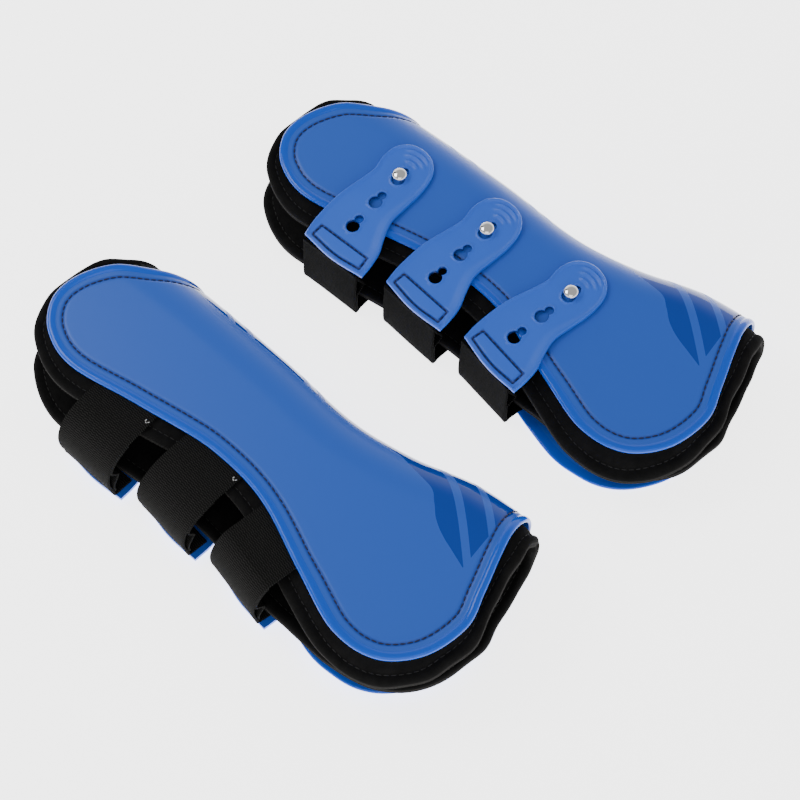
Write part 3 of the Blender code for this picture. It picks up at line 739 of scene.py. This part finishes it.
def tab_plate():
    """Points of a tab's top with the thickness and shade at each, and its triangles."""
    outline = tab_outline(0.8)
    holes = [keyhole(i, 0.0, 0.7) for i in range(3)]
    normals = inward(outline)
    loose = []
    for inset in (0.25, 0.55, 0.9, 1.4, 2.0, 2.7, 3.6, 4.6, 5.6):
        ring = outline + normals * inset
        loose.append(ring[distance_to(ring, outline) > inset * 0.93])
    for i in range(3):
        for grow in (0.2, 0.45, 0.75, 1.1):
            loose.append(keyhole(i, grow, 0.75))
    for ridge, half_angle in RIDGES:
        for off in (-2.0, -1.5, -1.0, -0.6, -0.3, -0.1, 0.15, 0.4, 0.65):
            swing = np.radians(np.linspace(-half_angle - 4, half_angle + 4, 30))
            loose.append(np.stack(((ridge + off) * np.sin(swing),
                                   RIDGE_CENTRE_Y + (ridge + off) * np.cos(swing)), 1))
    path = box_path()
    loose.append(path)
    for off in (-0.9, -0.6, -0.35, 0.35, 0.6, 0.9):
        loose.append(path + inward(path) * off)
    grid = np.stack(np.meshgrid(np.arange(-18, 23, 1.3), np.arange(-56, 19, 1.3)), -1)
    loose.append(grid.reshape(-1, 2))
    loose = np.vstack(loose)
    loose = loose[inside(loose, outline)]
    loose = loose[distance_to(loose, outline) > 0.2]
    for hole in holes:
        loose = loose[~inside(loose, hole)]
        loose = loose[distance_to(loose, hole) > 0.17]
    points, triangles = filled([outline] + holes, thinned(loose, 0.24))
    thickness, shade = tab_height(points, outline, holes)
    return points, thickness, shade, triangles


def finished_mesh(bm, name, sharp):
    """A closed shape as a smooth mesh, with sharp edges where it turns over `sharp` degrees."""
    bmesh.ops.recalc_face_normals(bm, faces=bm.faces)
    mesh = bpy.data.meshes.new(name)
    bm.to_mesh(mesh)
    bm.free()
    mesh.shade_smooth()
    mesh.set_sharp_from_angle(angle=math.radians(sharp))
    return mesh


def tab_mesh(name, plate, place, side):
    points, thickness, shade, triangles = plate
    used = sorted({k for t in triangles for k in t})
    number = {k: i for i, k in enumerate(used)}
    sag = TAB_SAG * smooth_step(points[:, 1], -24.0, -8.0)
    under = -TAB_THICKNESS / MM / 2
    bm = bmesh.new()
    # each point's painted shade, for the tab's colour
    layer = bm.verts.layers.float.new("painted_recess_shade")
    tops, bottoms = [], []
    for k in used:
        x, y = points[k]
        low = under - sag[k]
        tops.append(bm.verts.new((x, y, low + thickness[k])))
        bottoms.append(bm.verts.new((x, y, low)))
        tops[-1][layer] = bottoms[-1][layer] = shade[k]
    for t in triangles:
        a, b, c = (number[k] for k in t)
        bm.faces.new((tops[a], tops[b], tops[c]))
        bm.faces.new((bottoms[c], bottoms[b], bottoms[a]))
    bm.verts.index_update()
    pair = {tops[i].index: bottoms[i] for i in range(len(used))}
    rims = [e for e in bm.edges if len(e.link_faces) == 1 and e.verts[0].index in pair]
    for edge in rims:
        a, b = edge.verts
        bm.faces.new((a, b, pair[b.index], pair[a.index]))
    bmesh.ops.recalc_face_normals(bm, faces=bm.faces)
    scale = Matrix.Diagonal((MM, MM, side * MM, 1))
    bmesh.ops.transform(bm, matrix=place @ scale, verts=bm.verts)
    return finished_mesh(bm, name, 50)


def tab_finish():
    mat, tree, shader = new_finish("soft_blue_tpu", (0.016, 0.105, 0.560), 0.40)
    place = add(tree, "ShaderNodeTexCoord").outputs["Object"]
    colour = blend_colour(tree, noise(tree, place, 40.0, 3.0), (0.016, 0.112, 0.620, 1),
                          (0.022, 0.124, 0.670, 1))
    # Painted shade: the box's channel and the keyholes' edges are coloured towards a deep navy
    painted_recess_shade = add(tree, "ShaderNodeAttribute", attribute_name="painted_recess_shade").outputs["Fac"]
    colour = blend_colour(tree, maths(tree, "MULTIPLY", painted_recess_shade, 0.85), colour,
                          (0.004, 0.012, 0.110, 1))
    grain = noise(tree, place, 1800.0, 2.0)
    fill(tree, shader, {"Base Color": colour, "Roughness": ranged(tree, grain, (0, 1), (0.36, 0.46)),
                        "Normal": raised(tree, grain, 0.12, 0.04 * MM)})
    return mat


tab_blue = tab_finish()
plate = tab_plate()
for prefix, side in BOOTS.items():
    for index in range(STRAP_COUNT):
        label = f"{prefix}_keyhole_tab_{index + 1}"
        mesh = tab_mesh(label, plate, tab_place(side, index), side)
        mesh.materials.append(tab_blue)
        piece(label, mesh, f"{prefix}_tab_{index + 1}_body", "tab", f"{prefix}_tab_{index + 1}")

# ---------------------------------------------------------------------------------------------
# The straps: 35 mm woven elastic in two layers, sewn in under the edge of the wall that has no
# studs and sewn again under the tab.  The inner layer is a little longer and buckles in a fold.

STRAP_WIDTH = 35.0 * MM
STRAP_OFFSET = 1.5 * MM         # to the fetlock side of the studs
STRAP_SEWN_IN = 12.0 * MM
SELVEDGE = 0.12 * MM            # how much thicker, and rounder, the band is at its edges
INNER_BUCKLE = 5.0 * MM         # how far the inner layer's fold stands off the outer one
MOUTH = 1.5 * MM                # a strap turns this far past the liner's edge
LAYER_THICKNESS = 1.2 * MM
UNDER_TAB = 11.5 * MM
RIB_PITCH = 1.1 * MM


def edge_front(edge, slump, x, side):
    """How far the wall without studs reaches ahead of the reference line at x.

    Only a lower wall has slid, and on the left boot it is the one without studs.
    """
    run = np.array(edge[TOP_CORNER:FETLOCK_CORNER + 1], float) * MM
    slide = float(smooth_value(slump, x)) if side > 0 else 0.0
    return float(np.interp(x, run[:, 0], run[:, 1])) + slide


def strap_place(side, index):
    """The strap's plane: x away from the stud, y up from the far wall, z along the width."""
    axes = Matrix(((0, 0, 1, 0), (-1, 0, 0, 0), (0, side, 0, 0), (0, 0, 0, 1)))
    front = stud_front(side, index)
    far = -side * wall_z(front)
    return (boot_place(side) @ Matrix.Translation((stud_x(index), -front, far))
            @ Matrix.Rotation(-side * WALL_LEAN, 4, "X")
            @ Matrix.Rotation(-math.radians(TAB_LEANS[index]), 4, "Z")
            @ Matrix.Translation((STRAP_OFFSET, 0, 0)) @ axes)


def bezier(p0, p1, p2, p3, count):
    t = np.linspace(0, 1, count)[:, None]
    p0, p1, p2, p3 = (np.array(p, float) for p in (p0, p1, p2, p3))
    return (1 - t)**3 * p0 + 3 * (1 - t)**2 * t * p1 + 3 * (1 - t) * t**2 * p2 + t**3 * p3


def strap_route(side, index):
    """The outer layer's middle line in the strap's plane, its free part, and the shell's edge."""
    lean = math.radians(TAB_LEANS[index])
    to_plane = strap_place(side, index).inverted() @ tab_place(side, index)

    def under_tab(y, h):
        p = to_plane @ Vector((0, y, side * h))
        return p.x, p.y

    x = stud_x(index) - math.sin(lean) * HINGE_REACH + STRAP_OFFSET * math.cos(lean)
    half = STRAP_WIDTH / 2 * math.cos(lean)
    reach = max(edge_front(LINER_EDGE, LINER_SLUMP[side], x + across, side)
                for across in (-half, 0.0, half))
    front = stud_front(side, index)
    mouth = (reach - front) / math.cos(lean) + MOUTH
    middle = SHELL_THICKNESS + STRAP_SPACE / 2
    shell_end = (edge_front(SHELL_EDGE, SHELL_SLUMP, x, side) - front) / math.cos(lean)
    start = shell_end - STRAP_SEWN_IN
    low = -TAB_THICKNESS / 2 - GAP - LAYER_THICKNESS / 2
    drop = under_tab(-TAB_LENGTH + 0.6 * MM, low - 3.0 * MM)
    turned = under_tab(-TAB_LENGTH + 4.0 * MM, low)
    corner = under_tab(-TAB_LENGTH + 0.6 * MM, low + 0.2 * MM)
    end = under_tab(-TAB_LENGTH + UNDER_TAB, low)
    base, height = drop
    if side > 0:                    # out along the table and up, or else out and down
        reach_out = (max(base + 2.5 * MM, mouth + 5.0 * MM), -1.2 * MM)
        come_up = (base + 1.5 * MM, height * 0.30)
    else:
        reach_out = (max(base - 6.0 * MM, mouth + 4.0 * MM), middle + 1.0 * MM)
        come_up = (base + 3.5 * MM, height * 0.45)
    sewn = np.linspace((start, middle), (mouth, middle), 14)
    loop = bezier((mouth, middle), reach_out, come_up, drop, 56)
    bend = bezier(drop, corner, corner, turned, 10)
    flat = np.linspace(turned, end, 8)
    return np.vstack((sewn[:-1], loop[:-1], bend[:-1], flat)), loop, shell_end


def run_normals(run):
    """Unit vectors square to an open run."""
    ahead = np.gradient(run, axis=0)
    ahead /= np.hypot(*ahead.T)[:, None]
    return np.stack((-ahead[:, 1], ahead[:, 0]), axis=1)


def ribbon(bm, layer, path, across_points, thickness, place, seed):
    """A closed woven band along a plane path, with rounded selvedges."""
    normal = run_normals(path)
    length = run_lengths(path)
    half = STRAP_WIDTH / 2
    widths = np.linspace(-half + 0.5 * MM, half - 0.5 * MM, across_points)
    section = []
    for turn in (1, -1):            # the outer face and a selvedge, then the other way round
        section += [(w, turn * thickness / 2) for w in widths[::turn]]
        section += [(turn * (half - SELVEDGE), turn * thickness * 0.42), (turn * half, 0.0),
                    (turn * (half - SELVEDGE), -turn * thickness * 0.42)]
    rows = []
    for k, (point, n) in enumerate(zip(path, normal)):
        row = []
        for w, t in section:
            selvedge = SELVEDGE * math.copysign(1, t) if abs(w) > half - 2.2 * MM and t else 0.0
            cup = 0.35 * MM * math.sin(w / half * 1.9 + length[k] / 0.021 + seed)
            free = min(1.0, max(0.0, (length[k] - 0.022) / 0.02),
                       max(0.0, (length[-1] - 0.016 - length[k]) / 0.02))
            off = t + selvedge + cup * free
            spot = place @ Vector((point[0] + n[0] * off, point[1] + n[1] * off, w))
            vert = bm.verts.new(spot)
            vert[layer] = Vector((length[k], w, 0.0))
            row.append(vert)
        rows.append(row)
    for a, b in zip(rows, rows[1:]):
        for j in range(len(section)):
            k = (j + 1) % len(section)
            bm.faces.new((a[j], a[k], b[k], b[j]))
    bm.faces.new(rows[0])
    bm.faces.new(rows[-1][::-1])


def inner_layer(loop, side):
    """The inner layer's line: close behind the outer one, then a sharp fold near the tab."""
    lengths = run_lengths(loop)
    t = lengths / lengths[-1]
    fold = smooth_step(t, 0.52, 0.68) * (1 - smooth_step(t, 0.66, 0.97))
    off = LAYER_THICKNESS * 1.12 + INNER_BUCKLE * fold
    line = loop + run_normals(loop) * off[:, None]
    line[:, 1] = np.maximum(line[:, 1], SHELL_THICKNESS * 0.5) if side > 0 else line[:, 1]
    return line[t > 0.04]           # it starts just inside the liner's edge


def strap_mesh(name, side, index):
    """Both layers of one strap.  "weave" keeps each point's place along and across the band."""
    path, loop = strap_route(side, index)[:2]
    place = strap_place(side, index)
    seed = index * 1.7 + side
    bm = bmesh.new()
    layer = bm.verts.layers.float_vector.new("weave")
    ribbon(bm, layer, path, 15, LAYER_THICKNESS, place, seed)
    ribbon(bm, layer, inner_layer(loop, side), 9, LAYER_THICKNESS * 0.8, place, seed)
    return finished_mesh(bm, name, 60)


def webbing_finish(name, furrow_shade, ridge):
    """Wavy ribs of fuzzy yarn, with painted shade in the furrows between them."""
    mat, tree, shader = new_finish(name, (ridge, ridge, ridge), 0.85)
    weave = add(tree, "ShaderNodeAttribute", attribute_name="weave").outputs["Vector"]
    parts = add(tree, "ShaderNodeSeparateXYZ", {0: weave})
    turn = 2 * math.pi
    across = maths(tree, "MULTIPLY", parts.outputs["Y"], turn / (2.6 * MM))
    wander = maths(tree, "MULTIPLY", maths(tree, "SINE", across), 0.9)
    along = maths(tree, "MULTIPLY", parts.outputs["X"], turn / RIB_PITCH)
    rib = maths(tree, "SINE", maths(tree, "ADD", along, wander))
    rib = maths(tree, "MULTIPLY_ADD", rib, 0.5, 0.5)
    yarn = maths(tree, "SINE", maths(tree, "MULTIPLY", parts.outputs["Y"], turn / (0.55 * MM)))
    yarn = maths(tree, "MULTIPLY_ADD", yarn, 0.5, 0.5)
    fuzz = noise(tree, weave, 900.0, 3.0)
    height = maths(tree, "MULTIPLY_ADD", yarn, 0.35, rib)
    height = maths(tree, "MULTIPLY_ADD", fuzz, 0.5, height)
    # Painted shade: the colour darkens into the furrows, where the ribs' bump is low
    colour = blend_colour(tree, maths(tree, "MULTIPLY", rib, fuzz), (furrow_shade, furrow_shade, furrow_shade, 1),
                          (ridge, 0.98 * ridge, 0.93 * ridge, 1))
    fill(tree, shader, {"Base Color": colour, "Specular IOR Level": 0.03,
                        "Normal": raised(tree, height, 0.8, 0.3 * MM)})
    return mat


# Painted shade: the left straps get a darker copy of the same elastic, as they face the bright table
# and the right ones the room
webbing = {"left": webbing_finish("painted_shade_black_elastic", 0.0006, 0.0120),
           "right": webbing_finish("black_elastic", 0.0045, 0.0340)}
for prefix, side in BOOTS.items():
    for index in range(STRAP_COUNT):
        number = index + 1
        label = f"{prefix}_elastic_strap_{number}"
        mesh = strap_mesh(label, side, index)
        mesh.materials.append(webbing[prefix])
        strap = piece(label, mesh, None, "strap", f"{prefix}_strap_{number}")
        place = tab_place(side, index)
        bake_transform(strap)

# ---------------------------------------------------------------------------------------------
# The studs: chrome-plated brass, turned with a domed head and a short neck, put through the
# shell from outside and clenched over a steel washer before the liner is sewn in.

STUD_HEAD_RADIUS = 3.7
HEAD_UNDERSIDE = 3.0
HEAD_EDGE = 3.85
HEAD_TOP = 5.5
NECK_RADIUS = 1.8
WASHER_FACE = -3.65
CLENCHED_END = -4.0
STUD_SEGMENTS = 48


def stud_mesh(name, place):
    """The stud turned about its own axis, from the top of the head to the clenched end."""
    dome = [(STUD_HEAD_RADIUS * math.cos(a), HEAD_EDGE + (HEAD_TOP - HEAD_EDGE) * math.sin(a))
            for a in np.linspace(math.pi / 2, 0, 12)[1:]]
    profile = dome + [(STUD_HEAD_RADIUS, HEAD_EDGE - 0.5), (STUD_HEAD_RADIUS - 0.12, 3.1),
                      (STUD_HEAD_RADIUS - 0.35, HEAD_UNDERSIDE), (NECK_RADIUS + 0.3, HEAD_UNDERSIDE),
                      (NECK_RADIUS, HEAD_UNDERSIDE - 0.3), (NECK_RADIUS, WASHER_FACE),
                      (NECK_RADIUS + 1.0, WASHER_FACE - 0.03), (NECK_RADIUS + 0.95, CLENCHED_END)]
    bm = bmesh.new()
    top = bm.verts.new((0, 0, HEAD_TOP))
    end = bm.verts.new((0, 0, CLENCHED_END))
    rings = []
    for radius, z in profile:
        rings.append([bm.verts.new((radius * math.cos(a), radius * math.sin(a), z))
                      for a in np.linspace(0, 2 * math.pi, STUD_SEGMENTS, endpoint=False)])
    for k in range(STUD_SEGMENTS):
        n = (k + 1) % STUD_SEGMENTS
        bm.faces.new((top, rings[0][k], rings[0][n]))
        for a, b in zip(rings, rings[1:]):
            bm.faces.new((a[k], b[k], b[n], a[n]))
        bm.faces.new((end, rings[-1][n], rings[-1][k]))
    bmesh.ops.transform(bm, matrix=place @ Matrix.Scale(MM, 4), verts=bm.verts)
    return finished_mesh(bm, name, 40)


def stud_place(side, index):
    """Z out of the wall's face at the stud."""
    front = stud_front(side, index)
    wall = Matrix.Translation((stud_x(index), -front, side * wall_z(front)))
    turn = Matrix.Identity(4) if side > 0 else Matrix.Rotation(math.pi, 4, "X")
    return boot_place(side) @ wall @ Matrix.Rotation(side * WALL_LEAN, 4, "X") @ turn


def plated_finish(name, colour, low, high):
    """Plain metal, scuffed between two roughnesses."""
    mat, tree, shader = new_finish(name, colour, low)
    place = add(tree, "ShaderNodeTexCoord").outputs["Object"]
    rough = ranged(tree, noise(tree, place, 700.0, 4.0), (0.35, 0.75), (low, high))
    fill(tree, shader, {"Metallic": 1.0, "Roughness": rough})
    return mat


chrome = plated_finish("bright_chrome", (0.86, 0.85, 0.83), 0.03, 0.10)
washer_steel = plated_finish("plain_steel", (0.52, 0.52, 0.53), 0.25, 0.45)
for prefix, side in BOOTS.items():
    for index in range(STRAP_COUNT):
        number = index + 1
        label = f"{prefix}_domed_stud_{number}"
        mesh = stud_mesh(label, stud_place(side, index))
        mesh.materials.append(chrome)
        piece(label, mesh, "boots", "stud", f"{prefix}_stud_{number}")
        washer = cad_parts[f"{prefix}_stud_washer_{number}"]
        for slot in washer.material_slots:
            slot.material = washer_steel

# ---------------------------------------------------------------------------------------------
# The thread: dark lockstitch in the shell's groove, the same in each tab's sunk box, black
# thread in the liner's pinched seam, and a few white bar tacks where a strap was caught.

THREAD_ABOVE_GROOVE = 0.15 * MM     # how far a stitch's middle stands over the shell's groove
THREAD_ABOVE_BOX = 0.18             # and over a tab's box, in millimetres


def thread_finish(name, colour):
    mat, tree, shader = new_finish(name, colour, 0.7)
    place = add(tree, "ShaderNodeTexCoord").outputs["Object"]
    ply = noise(tree, place, 2500.0, 2.0)
    dark = tuple(0.45 * c for c in colour)
    fill(tree, shader, {"Base Color": blend_colour(tree, ply, (*dark, 1), (*colour, 1)),
                        "Normal": raised(tree, ply, 0.4, 0.1 * MM)})
    return mat


def lockstitch_tree():
    """Stitches of one thread, laid end to end along a line with a slight slant."""
    tree = bpy.data.node_groups.new("lockstitch", "GeometryNodeTree")
    face = tree.interface
    face.new_socket("Seam line", in_out="INPUT", socket_type="NodeSocketGeometry")
    for name in ("Stitch spacing", "Stitch length", "Thread radius", "Slant"):
        face.new_socket(name, in_out="INPUT", socket_type="NodeSocketFloat")
    face.new_socket("Thread", in_out="INPUT", socket_type="NodeSocketMaterial")
    face.new_socket("Stitches", in_out="OUTPUT", socket_type="NodeSocketGeometry")
    given = add(tree, "NodeGroupInput").outputs
    line = add(tree, "GeometryNodeMeshToCurve", {"Mesh": given["Seam line"]}).outputs["Curve"]
    spaced = add(tree, "GeometryNodeResampleCurve",
                 {"Curve": line, "Length": given["Stitch spacing"]}, mode="LENGTH")
    ahead = add(tree, "GeometryNodeInputTangent").outputs["Tangent"]
    turn = add(tree, "FunctionNodeAlignRotationToVector", {"Vector": ahead}, axis="Z")
    less = maths(tree, "MULTIPLY", given["Slant"], -1.0)
    least, most = (add(tree, "ShaderNodeCombineXYZ", {0: slant, 1: slant}).outputs[0]
                   for slant in (less, given["Slant"]))
    random = add(tree, "FunctionNodeRandomValue", {0: least, 1: most, "Seed": 11},
                 data_type="FLOAT_VECTOR")
    lean = add(tree, "FunctionNodeEulerToRotation", {0: random.outputs[0]})
    both = add(tree, "FunctionNodeRotateRotation", {0: turn.outputs["Rotation"],
                                                    1: lean.outputs["Rotation"]},
               rotation_space="LOCAL")
    bead = add(tree, "GeometryNodeMeshUVSphere", {"Segments": 6, "Rings": 5, "Radius": 1.0})
    size = add(tree, "ShaderNodeCombineXYZ",
               {0: given["Thread radius"], 1: given["Thread radius"],
                2: maths(tree, "MULTIPLY", given["Stitch length"], 0.5)})
    laid = add(tree, "GeometryNodeInstanceOnPoints",
               {"Points": spaced.outputs["Curve"], "Instance": bead.outputs["Mesh"],
                "Rotation": both.outputs["Rotation"], "Scale": size.outputs["Vector"]})
    real = add(tree, "GeometryNodeRealizeInstances", {"Geometry": laid.outputs["Instances"]})
    dyed = add(tree, "GeometryNodeSetMaterial", {"Geometry": real.outputs["Geometry"],
                                                 "Material": given["Thread"]})
    add(tree, "NodeGroupOutput", {"Stitches": dyed.outputs["Geometry"]})
    return tree


lockstitch = lockstitch_tree()
STITCH_INPUTS = {item.name: item.identifier for item in lockstitch.interface.items_tree
                 if item.in_out == "INPUT"}


def sewn_seam(name, lines, closed, body, thread, stitch, slant=0.10):
    """Stitches along lines of points, as one plain mesh.

    A stitch is its spacing, length and thread radius in millimetres.
    """
    verts, edges = [], []
    for points in lines:
        first = len(verts)
        verts += [tuple(p) for p in points]
        edges += [(first + k, first + k + 1) for k in range(len(points) - 1)]
        if closed:
            edges.append((first + len(points) - 1, first))
    mesh = bpy.data.meshes.new(name)
    mesh.from_pydata(verts, edges, [])
    seam = placed(name, mesh)
    sew = seam.modifiers.new("stitches", "NODES")
    sew.node_group = lockstitch
    for key, value in zip(("Stitch spacing", "Stitch length", "Thread radius"), stitch):
        sew[STITCH_INPUTS[key]] = value * MM
    sew[STITCH_INPUTS["Slant"]] = slant
    sew[STITCH_INPUTS["Thread"]] = thread
    bpy.context.view_layer.update()
    graph = bpy.context.evaluated_depsgraph_get()
    done = bpy.data.meshes.new_from_object(seam.evaluated_get(graph))
    seam.modifiers.remove(sew)
    seam.data = done
    done.name = name
    done.shade_smooth()
    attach(seam, body)
    return seam


def sheet_line(edge, slump, across, along, inset, depth, side, shape=None):
    """A closed line on a folded sheet, `inset` from its edge."""
    loop = sheet_outline(edge, across, along)
    x, s = (loop + inward(loop) * inset).T
    depth = np.full(len(x), depth)
    if shape is not None:
        x, s, depth = shape(x, s, depth, np.full(len(x), inset))
    place = boot_place(side)
    return [place @ Vector(p) for p in folded(x, slumped(slump, x, s), depth)]


navy_thread = thread_finish("navy_thread", (0.012, 0.013, 0.060))
black_thread = thread_finish("black_thread", (0.005, 0.005, 0.005))
white_thread = thread_finish("white_thread", (0.80, 0.80, 0.78))
TACKS = [("right", 0), ("right", 1)]
for prefix, index in TACKS:
    side = BOOTS[prefix]
    shell_end = strap_route(side, index)[2]
    place = strap_place(side, index)
    face = SHELL_THICKNESS + STRAP_SPACE / 2 - LAYER_THICKNESS / 2 - 0.25 * MM
    edge = STRAP_WIDTH / 2
    points = [place @ Vector((shell_end + along, face, edge - inset))
              for along, inset in ((1.0 * MM, 0.8 * MM), (1.9 * MM, 1.7 * MM), (1.0 * MM, 2.6 * MM))]
    sewn_seam(f"{prefix}_bar_tack_{index + 1}", [points], False, "boots", white_thread,
              (1.1, 1.2, 0.24), slant=0.9)
for prefix, side in BOOTS.items():
    line = sheet_line(SHELL_EDGE, SHELL_SLUMP, *SHELL_GRID, SEAM_INSET,
                      GROOVE_DEPTH - THREAD_ABOVE_GROOVE, side)
    sewn_seam(f"{prefix}_shell_seam", [line], True, "boots", navy_thread,
              (3.3, 2.9, 0.38))
    lines = [sheet_line(LINER_EDGE, LINER_SLUMP[side], *LINER_GRID, LINER_SEAM_INSET, depth * MM,
                        side, settled_liner(side)) for depth in LINER_SEAM_DEPTHS]
    sewn_seam(f"{prefix}_liner_seam", lines, True, "boots", black_thread,
              (3.4, 2.6, 0.25))
    for index in range(STRAP_COUNT):
        place = tab_place(side, index)
        height = TAB_FIELD - BOX_DEPTH - TAB_THICKNESS / MM / 2 + THREAD_ABOVE_BOX
        points = [place @ Vector((x * MM, y * MM, side * height * MM)) for x, y in box_path()]
        sewn_seam(f"{prefix}_tab_seam_{index + 1}", [points], True,
                  f"{prefix}_tab_{index + 1}_body", navy_thread, (2.9, 2.5, 0.28))
